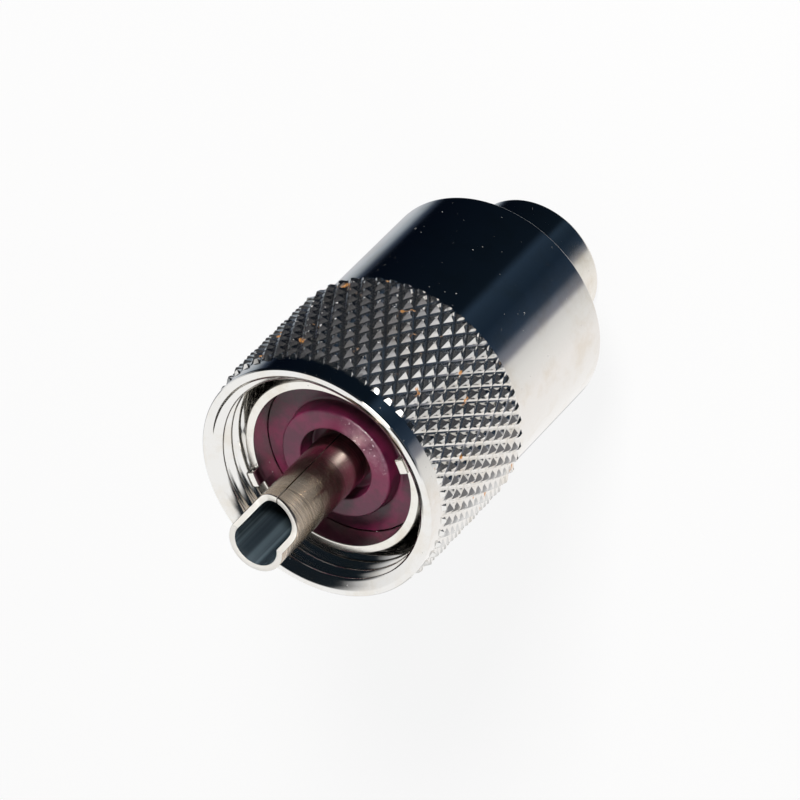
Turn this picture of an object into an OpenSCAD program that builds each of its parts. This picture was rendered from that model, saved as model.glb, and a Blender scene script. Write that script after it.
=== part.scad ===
// Coaxial plug with a screwed coupling ring, standing on the rear face of its cable neck.
// Millimetres, +Z up along the plug's axis, origin at the centre of the neck's rear face.

/* [Coupling thread] */
// Minor diameter of the 5/8-24 coupling thread
thread_minor_d = 14.75; // [14.6:0.05:14.9]
// Length of the thread from the front face to the stop inside
thread_len = 7.15; // [6.2:0.05:9]
// Width of the countersink from the thread out to the mouth
mouth_chamfer = 0.825; // [0.6:0.005:0.9]
// How far the body's flange is caught behind the thread, on the radius
flange_lap = 0.325; // [0.2:0.005:0.5]

/* [Coupling ring] */
// Length of the ring from its rear face to its front face
ring_len = 23.3; // [21:0.1:28]
// Wall of the smooth rear barrel, round the space for the flange
barrel_wall = 0.57; // [0.45:0.01:0.9]
// Chamfer on the barrel's rear edge
barrel_chamfer = 0.4; // [0.1:0.05:0.45]
// Height of the knurl's tips above the barrel
knurl_rise = 0.65; // [0.55:0.01:1]
// Depth of the knurl's grooves below the tips
knurl_depth = 0.38; // [0.2:0.01:0.45]
// Grooves of each hand counted round the ring
knurl_starts = 52; // [40:1:60]
// Rows of half diamonds along the knurl
knurl_rows = 11; // [8:1:12]
// Angle between a groove and the ring's axis
knurl_angle = 30; // [27:1:36]
// Length of the plain band in front of the knurl
band_len = 1.35; // [1:0.05:2]
// Step from the plain band up to the bottoms of the grooves
band_step = 0.02; // [0.01:0.01:0.05]
// Length of the rear lip that runs on the waist of the body
lip_len = 4; // [3:0.1:6]
// Small chamfer broken on the ring's sharp edges
ring_edge = 0.15; // [0.05:0.01:0.18]

/* [Plug body] */
// Length of the body from the neck's rear face to the rim's front face
body_len = 27.2; // [26:0.1:30]
// Outer diameter of the cable neck
neck_d = 9.7; // [9:0.1:11]
// How far the shoulder behind the waist sits inside the ring
neck_inset = 0.5; // [0.2:0.1:1.2]
// Diameter of the waist on which the ring's lip turns
waist_d = 12.6; // [11.8:0.05:12.8]
// Thickness of the flange
flange_len = 3.6; // [2.5:0.1:4.5]
// Length of the rim ahead of the flange
rim_len = 5.2; // [4.6:0.1:6]
// Radial room for the socket's shell between the rim and the thread
rim_gap = 0.875; // [0.7:0.005:1]
// Wall of the rim round the insulator
rim_wall = 0.6; // [0.5:0.05:0.7]
// Width of each locating tang
tang_w = 1.1; // [0.8:0.05:1.6]
// Height of each tang above the rim
tang_h = 0.7; // [0.4:0.05:1]
// Diameter of the hole that takes the cable
cable_bore_d = 6.4; // [5:0.1:7]
// Length of the cable hole
cable_bore_len = 8; // [7:0.1:9]
// Diameter of the solder chamber behind the insulator
chamber_d = 9.2; // [8:0.1:9.6]
// Diameter of each solder hole in the waist
solder_hole_d = 2.8; // [2:0.1:3.2]
// Number of solder holes round the waist
solder_hole_count = 4; // [2:1:4]
// Distance from the flange's rear face to the middle of the solder holes
solder_hole_drop = 4.4; // [3.6:0.1:5]
// Chamfer on the neck's edges
neck_edge = 0.3; // [0.1:0.05:0.5]

/* [Insulator] */
// Depth of the insulator's front floor below the rim
floor_drop = 1.8; // [1.5:0.05:2.2]
// Thickness from the front floor to the seat in the body
insulator_len = 4.9; // [4:0.1:5.6]
// Height of the raised land above the floor
land_h = 1.3; // [0.9:0.05:1.4]
// Diameter of the raised land
land_d = 8.3; // [7.4:0.1:9]
// Width of the slope on the land's outer edge
land_edge = 0.1; // [0.05:0.05:0.5]
// Diameter of the well round the pin
well_d = 5.28; // [4.8:0.02:5.8]
// Depth of the well below the land
well_depth = 1.5; // [0.8:0.05:2.4]
// Length of the spigot in the solder chamber
spigot_len = 2.2; // [1:0.1:3]
// Reach of the pin's pocket ahead of the insulator's seat
pin_pocket = 1.2; // [0.8:0.1:1.6]

/* [Centre pin] */
// Outer diameter of the pin's hollow front
pin_d = 3.96; // [3.85:0.01:4.05]
// Diameter of the pin's bore
pin_bore_d = 3.1; // [2.6:0.02:3.2]
// Reach of the pin's tip ahead of the rim
pin_reach = 9.45; // [8.5:0.05:10]
// Diameter of the stem behind the shoulder that sits on the well's floor
pin_stem_d = 3.54; // [3.4:0.02:3.6]
// Length of the open scoop at the tip
scoop_len = 2.55; // [1.5:0.05:3]
// Angle that the scoop's floor leans across the pin
scoop_tilt = 17; // [0:1:20]
// Distance from the axis to the scoop's floor
scoop_offset = 0.55; // [0.2:0.05:1]
// Direction that the scoop faces, turned from the first tang
scoop_turn = 51; // [0:1:90]
// Radius inside the scoop's corner
scoop_round = 0.7; // [0.3:0.05:1]
// Diameter of the collar that holds the pin in the insulator
pin_collar_d = 5; // [4.6:0.1:6]
// Thickness of that collar
pin_collar_len = 0.8; // [0.5:0.05:1.2]
// Length of the pin's tail behind its collar
pin_tail_len = 1.4; // [0.8:0.1:2]

/* [Fits] */
// Radial clearance between the ring and the body
running_gap = 0.08; // [0.03:0.01:0.1]
// Clearance between the flange and the ring's stop
stop_gap = 0.05; // [0.02:0.01:0.1]
// Radial clearance of the insulator in the rim and of the pin in the insulator
seat_gap = 0.02; // [0.01:0.01:0.05]

/* [Hidden] */
$fn = 96;

// Heights along the axis
rim_z = body_len;
flange_front_z = rim_z - rim_len;
flange_rear_z = flange_front_z - flange_len;
ring_stop_z = flange_front_z + stop_gap;
ring_front_z = ring_stop_z + thread_len;
ring_rear_z = ring_front_z - ring_len;
lip_front_z = ring_rear_z + lip_len;
neck_len = ring_rear_z + neck_inset;
floor_z = rim_z - floor_drop;
land_z = floor_z + land_h;
well_floor_z = land_z - well_depth;
seat_z = floor_z - insulator_len;
pin_tip_z = rim_z + pin_reach;
shoulder_z = well_floor_z + seat_gap;
scoop_z = pin_tip_z - scoop_len;
collar_front_z = seat_z + pin_pocket;
collar_rear_z = collar_front_z - pin_collar_len;
pin_rear_z = collar_rear_z - pin_tail_len;
solder_hole_z = flange_rear_z - solder_hole_drop;

// Radii shared by pieces that fit each other
minor_r = thread_minor_d / 2;
mouth_r = minor_r + mouth_chamfer;
flange_r = minor_r + flange_lap;
cavity_r = flange_r + running_gap;
barrel_r = cavity_r + barrel_wall;
waist_r = waist_d / 2;
lip_r = waist_r + running_gap;
neck_r = neck_d / 2;
rim_r = minor_r - rim_gap;
recess_r = rim_r - rim_wall;
chamber_r = chamber_d / 2;
stem_r = pin_stem_d / 2;
collar_r = pin_collar_d / 2;

// Knurl: tips and groove crossings alternate round each level
tip_r = barrel_r + knurl_rise;
groove_r = tip_r - knurl_depth;
band_r = groove_r - band_step;
knurl_cols = 2 * knurl_starts;
row_h = PI * tip_r / knurl_starts / tan(knurl_angle);
knurl_len = knurl_rows * row_h;
knurl_front_z = ring_front_z - band_len;
knurl_rear_z = knurl_front_z - knurl_len;
// Inner face of the knurl's sleeve, in the middle of the barrel's wall
sleeve_r = cavity_r + barrel_wall / 2;

// Overlap that keeps a cut clear of the face it opens
cut = 1;

// Radius of one knurl vertex: a tip where column and level add up to an even number
function knurl_r(col, level) = (col + level) % 2 == 0 ? tip_r : groove_r;

// One ring of points round the axis, half a column on from the first tang
function ring_points(radii, z) =
    [for (c = [0 : knurl_cols - 1])
        let (a = 360 * (c + 0.5) / knurl_cols)
        [radii[c] * cos(a), radii[c] * sin(a), z]];

// The two triangles between two levels of points, split along the groove where there is one
function cell(a, b, c, d, along_bd) = along_bd
    ? [[a, b, d], [b, c, d]]
    : [[a, b, c], [a, c, d]];

// Sleeve of pyramids left between two crossing sets of helical grooves
module knurl_sleeve() {
    levels = [for (k = [0 : knurl_rows]) [for (c = [0 : knurl_cols - 1]) knurl_r(c, k)]];
    inner = [for (c = [0 : knurl_cols - 1]) sleeve_r];
    outer_points = [for (k = [0 : knurl_rows]) each ring_points(levels[k], knurl_rear_z + k * row_h)];
    points = concat(outer_points, ring_points(inner, knurl_rear_z), ring_points(inner, knurl_front_z));
    low = (knurl_rows + 1) * knurl_cols;
    high = low + knurl_cols;
    top = knurl_rows * knurl_cols;
    faces = [
        for (c = [0 : knurl_cols - 1])
            let (n = (c + 1) % knurl_cols)
            each concat(
                [for (k = [0 : knurl_rows - 1])
                    let (b0 = k * knurl_cols, b1 = b0 + knurl_cols)
                    each cell(b0 + c, b1 + c, b1 + n, b0 + n, (c + k) % 2 == 0)],
                [[low + c, c, n], [low + c, n, low + n]],
                [[top + c, high + c, high + n], [top + c, high + n, top + n]],
                [[low + c, low + n, high + n, high + c]]
            )
    ];
    polyhedron(points = points, faces = faces, convexity = 6);
}

// Section of the turned ring: outside from rear to front, then the bore from front to rear
module ring_section() {
    polygon([
        [lip_r + ring_edge, ring_rear_z],
        [barrel_r - barrel_chamfer, ring_rear_z],
        [barrel_r, ring_rear_z + barrel_chamfer],
        [barrel_r, knurl_rear_z + row_h],
        [band_r, knurl_rear_z + row_h],
        [band_r, ring_front_z - ring_edge],
        [band_r - ring_edge, ring_front_z],
        [mouth_r, ring_front_z],
        [minor_r, ring_front_z - (mouth_r - minor_r)],
        [minor_r, ring_stop_z],
        [cavity_r, ring_stop_z],
        [cavity_r, lip_front_z],
        [lip_r, lip_front_z],
        [lip_r, ring_rear_z + ring_edge]
    ]);
}

module coupling_ring() {
    color([0.78, 0.78, 0.76]) {
        rotate_extrude() ring_section();
        knurl_sleeve();
    }
}

// Section of the body: outside from rear to front, then the hollow from front to rear
module body_section() {
    shoulder_len = waist_r - neck_r;
    bore_r = cable_bore_d / 2;
    throat_len = chamber_r - bore_r;
    polygon([
        [bore_r + neck_edge, 0],
        [neck_r - neck_edge, 0],
        [neck_r, neck_edge],
        [neck_r, neck_len],
        [waist_r, neck_len + shoulder_len],
        [waist_r, flange_rear_z],
        [flange_r, flange_rear_z],
        [flange_r, flange_front_z],
        [rim_r, flange_front_z],
        [rim_r, rim_z],
        [recess_r, rim_z],
        [recess_r, seat_z],
        [chamber_r, seat_z],
        [chamber_r, cable_bore_len + throat_len],
        [bore_r, cable_bore_len],
        [bore_r, neck_edge]
    ]);
}

// Locating tang: a short tooth on the rim that follows the rim's wall
module tang() {
    intersection() {
        rotate_extrude() translate([recess_r, rim_z - tang_h]) square([rim_wall, 2 * tang_h]);
        translate([0, -tang_w / 2, rim_z - tang_h]) cube([2 * rim_r, tang_w, 2 * tang_h]);
    }
}

module plug_body() {
    color([0.86, 0.84, 0.77]) {
        difference() {
            rotate_extrude() body_section();
            for (i = [0 : solder_hole_count - 1])
                rotate([0, 0, 45 + 360 * i / solder_hole_count])
                    translate([chamber_r - cut, 0, solder_hole_z])
                        rotate([0, 90, 0])
                            cylinder(d = solder_hole_d, h = waist_r - chamber_r + 2 * cut);
        }
        for (side = [0, 180]) rotate([0, 0, side]) tang();
    }
}

// Moulded insulator: stepped front with a land and a well, spigot at the rear
module insulator() {
    land_r = land_d / 2;
    well_r = well_d / 2;
    hole_r = stem_r + seat_gap;
    pocket_r = collar_r + seat_gap;
    spigot_r = chamber_r - seat_gap;
    color([0.45, 0.13, 0.22])
        rotate_extrude()
            polygon([
                [pocket_r, seat_z - spigot_len],
                [spigot_r, seat_z - spigot_len],
                [spigot_r, seat_z],
                [recess_r - seat_gap, seat_z],
                [recess_r - seat_gap, floor_z],
                [land_r, floor_z],
                [land_r - land_edge, land_z],
                [well_r, land_z],
                [well_r, well_floor_z],
                [hole_r, well_floor_z],
                [hole_r, collar_front_z],
                [pocket_r, collar_front_z]
            ]);
}

// Scoop that opens one side of the pin's tip so that the conductor can be soldered
module scoop() {
    far = pin_d;
    clear = scoop_len + cut;
    rotate([0, 0, scoop_turn])
        translate([0, 0, scoop_z])
            rotate([90 - scoop_tilt, 0, 0])
                translate([0, 0, -far])
                    linear_extrude(2 * far)
                        polygon(concat(
                            [for (a = [180 : 10 : 270])
                                [scoop_offset + scoop_round + scoop_round * cos(a),
                                 scoop_round + scoop_round * sin(a)]],
                            [[far, 0], [far, clear], [scoop_offset, clear]]
                        ));
}

module centre_pin() {
    pin_r = pin_d / 2;
    bore_r = pin_bore_d / 2;
    color([0.62, 0.59, 0.54])
        difference() {
            rotate_extrude()
                polygon([
                    [bore_r, pin_rear_z],
                    [stem_r, pin_rear_z],
                    [stem_r, collar_rear_z],
                    [collar_r, collar_rear_z],
                    [collar_r, collar_front_z],
                    [stem_r, collar_front_z],
                    [stem_r, shoulder_z],
                    [pin_r, shoulder_z],
                    [pin_r, pin_tip_z],
                    [bore_r, pin_tip_z]
                ]);
            scoop();
        }
}

coupling_ring();
plug_body();
insulator();
centre_pin();
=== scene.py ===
"""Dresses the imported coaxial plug: one detailed piece for each solid, its finishes and a plain studio."""

import math

import bpy
import numpy as np
from bpy.props import FloatProperty, FloatVectorProperty, IntProperty, PointerProperty
from mathutils import Matrix, Vector


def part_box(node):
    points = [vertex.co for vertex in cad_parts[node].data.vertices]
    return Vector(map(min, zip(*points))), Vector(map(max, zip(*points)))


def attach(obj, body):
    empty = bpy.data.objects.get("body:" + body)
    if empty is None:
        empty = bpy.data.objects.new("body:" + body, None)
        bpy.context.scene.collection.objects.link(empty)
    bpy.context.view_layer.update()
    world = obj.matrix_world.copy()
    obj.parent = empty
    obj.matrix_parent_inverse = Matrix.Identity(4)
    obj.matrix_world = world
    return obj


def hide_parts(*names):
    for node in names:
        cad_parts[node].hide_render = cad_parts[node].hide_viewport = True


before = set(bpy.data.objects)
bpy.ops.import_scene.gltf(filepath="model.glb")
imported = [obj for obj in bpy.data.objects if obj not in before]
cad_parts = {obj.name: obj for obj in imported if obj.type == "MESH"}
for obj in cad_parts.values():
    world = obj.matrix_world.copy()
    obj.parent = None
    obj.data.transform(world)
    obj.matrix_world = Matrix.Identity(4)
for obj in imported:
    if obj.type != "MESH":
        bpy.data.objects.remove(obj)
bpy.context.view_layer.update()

bl_info = {
    "name": "Coaxial Plug",
    "version": (1, 0, 0),
    "blender": (4, 5, 0),
    "location": "3D View > Sidebar > Plug",
    "description": "Builds a nickel-plated coaxial plug with a knurled coupling ring, and its studio",
    "category": "Add Mesh",
}

MM = 0.001
RING_LOW, RING_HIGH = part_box("coupling_ring")
BODY_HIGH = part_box("plug_body")[1]
INSULATOR_LOW, INSULATOR_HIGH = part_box("insulator")
PIN_LOW, PIN_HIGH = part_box("centre_pin")


def length(name, description, millimetres):
    return FloatProperty(
        name=name, description=description, default=millimetres * MM,
        min=0, precision=5, subtype="DISTANCE", unit="LENGTH",
    )


def colour(name, description, red, green, blue):
    return FloatVectorProperty(
        name=name, description=description, default=(red, green, blue),
        size=3, min=0, max=1, subtype="COLOR",
    )


def turn(name, description, degrees):
    return FloatProperty(name=name, description=description, default=math.radians(degrees), subtype="ANGLE")


# Sizes and finishes that a user would change


class RingSizes(bpy.types.PropertyGroup):
    knurl_d: length("Knurl diameter", "Diameter over the knurl's tips", 18)
    barrel_d: length("Barrel diameter", "Diameter of the smooth rear barrel", 16.69)
    groove_depth: length("Groove depth", "Depth of the knurl's grooves", 0.38)
    band_d: length("Band diameter", "Diameter of the plain band in front of the knurl", 17.2)
    band_len: length("Band length", "Length of the plain band", 1.35)
    mouth_d: length("Mouth diameter", "Diameter of the mouth at the front face", 16.4)
    minor_d: length("Thread minor diameter", "Diameter over the thread's crests", 14.75)
    thread_depth: length("Thread depth", "Depth of the thread from crest to root", 0.55)
    thread_pitch: length("Thread pitch", "Pitch of the 24 per inch thread", 25.4 / 24)
    thread_len: length("Thread length", "Length from the front face to the stop", 7.15)
    cavity_d: length("Cavity diameter", "Diameter of the space for the flange", 15.56)
    lip_d: length("Lip diameter", "Bore of the rear lip", 12.76)
    lip_len: length("Lip length", "Length of the rear lip", 4)
    rear_chamfer: length("Rear chamfer", "Chamfer on the barrel's rear edge", 0.4)
    front_round: length("Front rounding", "Rounding of the band's front edge", 0.2)
    mouth_round: length("Mouth rounding", "Rounding of the mouth's edge", 0.1)
    knurl_starts: IntProperty(name="Knurl starts", description="Grooves of each hand", default=52, min=20)
    knurl_rows: IntProperty(name="Knurl rows", description="Rows of half diamonds", default=11, min=4)
    knurl_angle: turn("Knurl angle", "Angle between a groove and the axis", 30)


class BodySizes(bpy.types.PropertyGroup):
    neck_d: length("Neck diameter", "Diameter of the cable neck", 9.7)
    neck_len: length("Neck length", "Length of the neck behind the shoulder", 6.4)
    waist_d: length("Waist diameter", "Diameter that the ring's lip turns on", 12.6)
    flange_d: length("Flange diameter", "Diameter of the flange that holds the ring", 15.4)
    flange_len: length("Flange length", "Thickness of the flange", 3.6)
    rim_d: length("Rim diameter", "Outer diameter of the rim", 13)
    rim_len: length("Rim length", "Length of the rim ahead of the flange", 5.2)
    rim_wall: length("Rim wall", "Wall of the rim round the insulator", 0.6)
    recess_depth: length("Recess depth", "Depth from the rim to the insulator's seat", 6.7)
    chamber_d: length("Chamber diameter", "Diameter of the solder chamber", 9.2)
    cable_bore_d: length("Cable bore", "Diameter of the hole for the cable", 6.4)
    cable_bore_len: length("Cable bore length", "Length of the hole for the cable", 8)
    tang_w: length("Tang width", "Width of a locating tang", 1.1)
    tang_h: length("Tang height", "Reach of a tang above the rim", 0.7)
    solder_hole_d: length("Solder hole", "Diameter of a solder hole in the waist", 2.8)
    solder_hole_back: length("Solder hole place", "Distance of the solder holes behind the flange", 4.4)


class InsulatorSizes(bpy.types.PropertyGroup):
    outer_d: length("Outer diameter", "Diameter inside the rim", 11.76)
    floor_drop: length("Floor drop", "Depth of the floor below the land", 1.3)
    land_d: length("Land diameter", "Diameter of the raised land", 8.3)
    well_d: length("Well diameter", "Diameter of the well round the pin", 5.28)
    well_depth: length("Well depth", "Depth of the well below the land", 1.5)
    spigot_d: length("Spigot diameter", "Diameter of the rear spigot", 9.16)
    spigot_len: length("Spigot length", "Length of the rear spigot", 2.2)
    hole_d: length("Pin hole", "Diameter of the hole for the pin's stem", 3.58)
    pocket_d: length("Pocket diameter", "Diameter of the pocket for the pin's collar", 5.04)
    pocket_len: length("Pocket length", "Reach of the pocket ahead of the seat", 1.2)
    # Turn of the side of the land that carries the painted sheen and its glints
    sheen_turn: turn("Scuff turn", "Side of the land that is scuffed", 22)


class PinSizes(bpy.types.PropertyGroup):
    front_d: length("Front diameter", "Diameter of the pin's hollow front", 3.96)
    bore_d: length("Bore", "Diameter of the pin's bore", 3.1)
    front_len: length("Front length", "Length from the shoulder to the tip", 11.43)
    stem_d: length("Stem diameter", "Diameter behind the shoulder", 3.54)
    collar_d: length("Collar diameter", "Diameter of the collar in the insulator", 5)
    collar_len: length("Collar length", "Thickness of the collar", 0.8)
    tail_len: length("Tail length", "Length of the tail behind the collar", 1.4)
    scoop_len: length("Scoop length", "Length of the open scoop at the tip", 2.55)
    scoop_offset: length("Scoop offset", "Distance from the axis to the scoop's floor", 0.55)
    scoop_round: length("Scoop radius", "Radius inside the scoop's corner", 0.7)
    scoop_turn: turn("Scoop turn", "Direction that the scoop faces", 51)
    scoop_tilt: turn("Scoop tilt", "Angle that the scoop's floor leans across the pin", 17)
    seam_turn: turn("Seam turn", "Direction of the seam along the pin", 65)
    seam_w: length("Seam width", "Width of the seam", 0.12)


class Finishes(bpy.types.PropertyGroup):
    ring_nickel: colour("Ring nickel", "Bright plate of the coupling ring", 0.85, 0.84, 0.82)
    body_nickel: colour("Body nickel", "Warm plate of the body", 0.87, 0.85, 0.80)
    pin_nickel: colour("Pin nickel", "Dull plate of the centre pin", 0.68, 0.60, 0.51)
    brass: colour("Brass", "Metal that shows where the plate is thin", 0.85, 0.38, 0.10)
    phenolic: colour("Phenolic", "Moulded maroon insulator", 0.125, 0.008, 0.048)
    floor: colour("Floor", "Pale studio floor", 0.9, 0.9, 0.9)


class Studio(bpy.types.PropertyGroup):
    azimuth: turn("Camera azimuth", "Direction from the plug to the camera", 30.3)
    elevation: turn("Camera elevation", "Height of the camera above the horizon", 44.21)
    roll: turn("Camera roll", "Turn of the camera about its view", 135.4)
    distance: length("Camera distance", "Distance from the camera to the axis", 410.04)
    aim_height: length("Aim height", "Height on the axis that the camera looks at", 18.476)
    focal_length: FloatProperty(
        name="Focal length", description="Lens, on a 36 mm sensor", default=281.35, min=10,
    )


# Meshes

# A rounding takes up at most this share of a side
LONGEST = 0.45


def arc(before, corner, after, reach, parts):
    """Points of a section's rounded corner, from the side before it to the side after it."""
    before, corner, after = (np.array(point, float) for point in (before, corner, after))
    start = corner + (before - corner) / np.linalg.norm(before - corner) * reach
    end = corner + (after - corner) / np.linalg.norm(after - corner) * reach
    return [(1 - t) ** 2 * start + 2 * t * (1 - t) * corner + t ** 2 * end for t in parts]


def rounded(corners):
    """Points of a closed section from corners (radius, height, rounding), the rounded ones as short arcs."""
    points = []
    places = [np.array(corner[:2]) for corner in corners]
    for i, here in enumerate(places):
        rounding = corners[i][2]
        if rounding <= 0:
            points.append(here)
            continue
        before, after = places[i - 1], places[(i + 1) % len(places)]
        reach = min(rounding, LONGEST * np.linalg.norm(before - here), LONGEST * np.linalg.norm(after - here))
        points += arc(before, here, after, reach, (0, 0.25, 0.5, 0.75, 1))
    return points


def supported(points, gap):
    """The section with two more points near the ends of each long side, so that its shading stays flat."""
    result = []
    for i, here in enumerate(points):
        there = points[(i + 1) % len(points)]
        side = np.linalg.norm(there - here)
        result.append(here)
        if side > 3 * gap:
            result.append(here + (there - here) * gap / side)
            result.append(there - (there - here) * gap / side)
    return result


def new_piece(name, vertices, faces):
    """A mesh object from points in metres, shaded smooth."""
    mesh = bpy.data.meshes.new(name)
    mesh.from_pydata(np.asarray(vertices).tolist(), [], faces)
    mesh.validate()
    mesh.shade_smooth()
    piece = bpy.data.objects.new(name, mesh)
    bpy.context.scene.collection.objects.link(piece)
    return piece


def skin(radii, heights, angles, split=None):
    """Points and faces of a closed skin from arrays [level][column], up the outside and down the inside."""
    levels, columns = radii.shape
    points = np.stack([radii * np.cos(angles), radii * np.sin(angles), heights], axis=-1).reshape(-1, 3)
    faces = []
    for i in range(levels):
        low, high = i * columns, (i + 1) % levels * columns
        for j in range(columns):
            k = (j + 1) % columns
            quad = (low + j, low + k, high + k, high + j)
            cut = split(i, j) if split else None
            if cut is None:
                faces.append(quad)
            elif cut:
                faces += [(quad[0], quad[1], quad[3]), (quad[1], quad[2], quad[3])]
            else:
                faces += [(quad[0], quad[1], quad[2]), (quad[0], quad[2], quad[3])]
    return points, faces


def turned(name, corners, columns):
    """A piece turned from a closed section, whose corners run outside upwards and inside down."""
    gap = 0.04 * MM
    section = np.array(supported(rounded(corners), gap))
    angles = np.linspace(0, 2 * math.pi, columns, endpoint=False)
    ones = np.ones(columns)
    points, faces = skin(section[:, :1] * ones, section[:, 1:] * ones, angles)
    return new_piece(name, points, faces)


def combined(piece, tool, operation):
    """Cuts the tool from the piece or joins it on, and removes the tool."""
    change = piece.modifiers.new("combine", "BOOLEAN")
    change.operation = operation
    change.solver = "EXACT"
    change.object = tool
    applied(piece)
    bpy.data.objects.remove(tool)


def applied(piece):
    """Turns the piece's modifiers into its mesh."""
    graph = bpy.context.evaluated_depsgraph_get()
    made = bpy.data.meshes.new_from_object(piece.evaluated_get(graph))
    piece.modifiers.clear()
    piece.data = made


def broken_edges(piece, width, angle):
    """Breaks the piece's sharp edges with a small bevel."""
    bevel = piece.modifiers.new("edges", "BEVEL")
    bevel.width = width
    bevel.segments = 2
    bevel.limit_method = "ANGLE"
    bevel.angle_limit = angle
    bevel.harden_normals = True
    applied(piece)


def creased(piece, degrees, keep_smooth=None):
    """Shades edges sharper than the angle as creases, apart from those whose points keep_smooth picks."""
    mesh = piece.data
    mesh.set_sharp_from_angle(angle=math.radians(degrees))
    crease = mesh.attributes.get("sharp_edge")
    if keep_smooth is None or crease is None:
        return
    ends = np.zeros(2 * len(mesh.edges), np.int32)
    mesh.edges.foreach_get("vertices", ends)
    places = np.zeros(3 * len(mesh.vertices), np.float32)
    mesh.vertices.foreach_get("co", places)
    smooth = keep_smooth(places.reshape(-1, 3))[ends.reshape(-1, 2)].all(axis=1)
    flags = np.zeros(len(mesh.edges), bool)
    crease.data.foreach_get("value", flags)
    crease.data.foreach_set("value", flags & ~smooth)


# Materials


class Wiring:
    """The nodes of a material or of the world, added and linked one by one."""

    def __init__(self, owner):
        owner.use_nodes = True
        self.tree = owner.node_tree

    def node(self, kind, **settings):
        made = self.tree.nodes.new(kind)
        for setting, value in settings.items():
            setattr(made, setting, value)
        return made

    def feed(self, socket, value):
        """Links an output to a socket, or sets the socket to a plain value."""
        if isinstance(value, bpy.types.NodeSocket):
            self.tree.links.new(value, socket)
        else:
            socket.default_value = value

    def fed(self, kind, values, **settings):
        """A new node whose first sockets are fed in order."""
        made = self.node(kind, **settings)
        for socket, value in zip(made.inputs, values):
            self.feed(socket, value)
        return made

    def maths(self, operation, *values):
        return self.fed("ShaderNodeMath", values, operation=operation).outputs[0]

    def plus(self, first, second):
        return self.maths("ADD", first, second)

    def minus(self, first, second):
        return self.maths("SUBTRACT", first, second)

    def times(self, first, second):
        return self.maths("MULTIPLY", first, second)

    def ranged(self, value, low, high, to_low=0.0, to_high=1.0, curve="SMOOTHSTEP"):
        """The value's way from low to high, as a way from to_low to to_high."""
        numbers = (value, low, high, to_low, to_high)
        return self.fed("ShaderNodeMapRange", numbers, interpolation_type=curve).outputs["Result"]

    def under(self, value, low, high):
        """1 where the value is under low, down to 0 at high."""
        return self.ranged(value, low, high, 1.0, 0.0)

    def mixed(self, amount, first, second):
        made = self.node("ShaderNodeMix", data_type="RGBA")
        self.feed(made.inputs["Factor"], amount)
        self.feed(made.inputs["A"], (*first, 1) if isinstance(first, tuple) else first)
        self.feed(made.inputs["B"], (*second, 1) if isinstance(second, tuple) else second)
        return made.outputs["Result"]

    def joined(self, x, y, z):
        return self.fed("ShaderNodeCombineXYZ", (x, y, z)).outputs[0]


class Finish(Wiring):
    """The material of a piece, wired round its main shader from the point's place on the piece."""

    def __init__(self, name, **sockets):
        self.material = bpy.data.materials.new(name)
        super().__init__(self.material)
        self.shader = self.tree.nodes["Principled BSDF"]
        self.use(**sockets)
        self.place = self.node("ShaderNodeTexCoord").outputs["Object"]
        self.x, self.y, self.height = self.fed("ShaderNodeSeparateXYZ", (self.place,)).outputs
        self.radius = self.maths("SQRT", self.plus(self.times(self.x, self.x), self.times(self.y, self.y)))

    def use(self, **sockets):
        """Feeds the main shader's sockets, named with _ for a space."""
        for socket, value in sockets.items():
            self.feed(self.shader.inputs[socket.replace("_", " ")], value)

    def towards(self, angle):
        """How far the point lies from the axis in one direction."""
        return self.plus(self.times(self.x, math.cos(angle)), self.times(self.y, math.sin(angle)))

    def noise(self, scale, detail, roughness, place=None):
        made = self.node("ShaderNodeTexNoise")
        made.inputs["Scale"].default_value = scale
        made.inputs["Detail"].default_value = detail
        made.inputs["Roughness"].default_value = roughness
        self.feed(made.inputs["Vector"], place or self.place)
        return made.outputs["Fac"]

    def bump(self, height, distance, strength, under=None):
        made = self.node("ShaderNodeBump")
        made.inputs["Strength"].default_value = strength
        made.inputs["Distance"].default_value = distance
        self.feed(made.inputs["Height"], height)
        if under:
            self.feed(made.inputs["Normal"], under)
        return made.outputs["Normal"]


def nickel(name, tint, gloss, marks, stain):
    """Nickel plate on turned metal, with lathe marks round the axis, cloudy gloss, stains and pale specks."""
    stain_tint, dust_colour, most_dust = (1.0, 0.96, 0.9), (0.5, 0.52, 0.54), 0.35
    finish = Finish(name)
    cloud = finish.noise(420, 4, 0.6)
    stained = tuple(part * (1 - stain) * shade for part, shade in zip(tint, stain_tint))
    plate = finish.mixed(finish.ranged(cloud, 0.45, 0.75), tint, stained)
    dust = finish.ranged(finish.noise(3800, 1, 0.5), 0.76, 0.8, 0.0, most_dust)
    finish.plate = finish.mixed(dust, plate, dust_colour)
    finish.metal = finish.minus(1.0, dust)
    lathe = finish.joined(finish.radius, 0.0, finish.height)
    relief = finish.bump(finish.noise(14000, 2, 0.6, lathe), 0.004 * MM, marks)
    relief = finish.bump(finish.noise(2600, 2, 0.5, lathe), 0.012 * MM, marks, relief)
    relief = finish.bump(finish.noise(900, 3, 0.55), 0.02 * MM, 0.12, relief)
    rough = finish.ranged(cloud, 0.3, 0.7, gloss * 0.8, gloss * 1.25)
    finish.use(Base_Color=finish.plate, Metallic=finish.metal, Roughness=rough, Normal=relief)
    return finish


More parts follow.
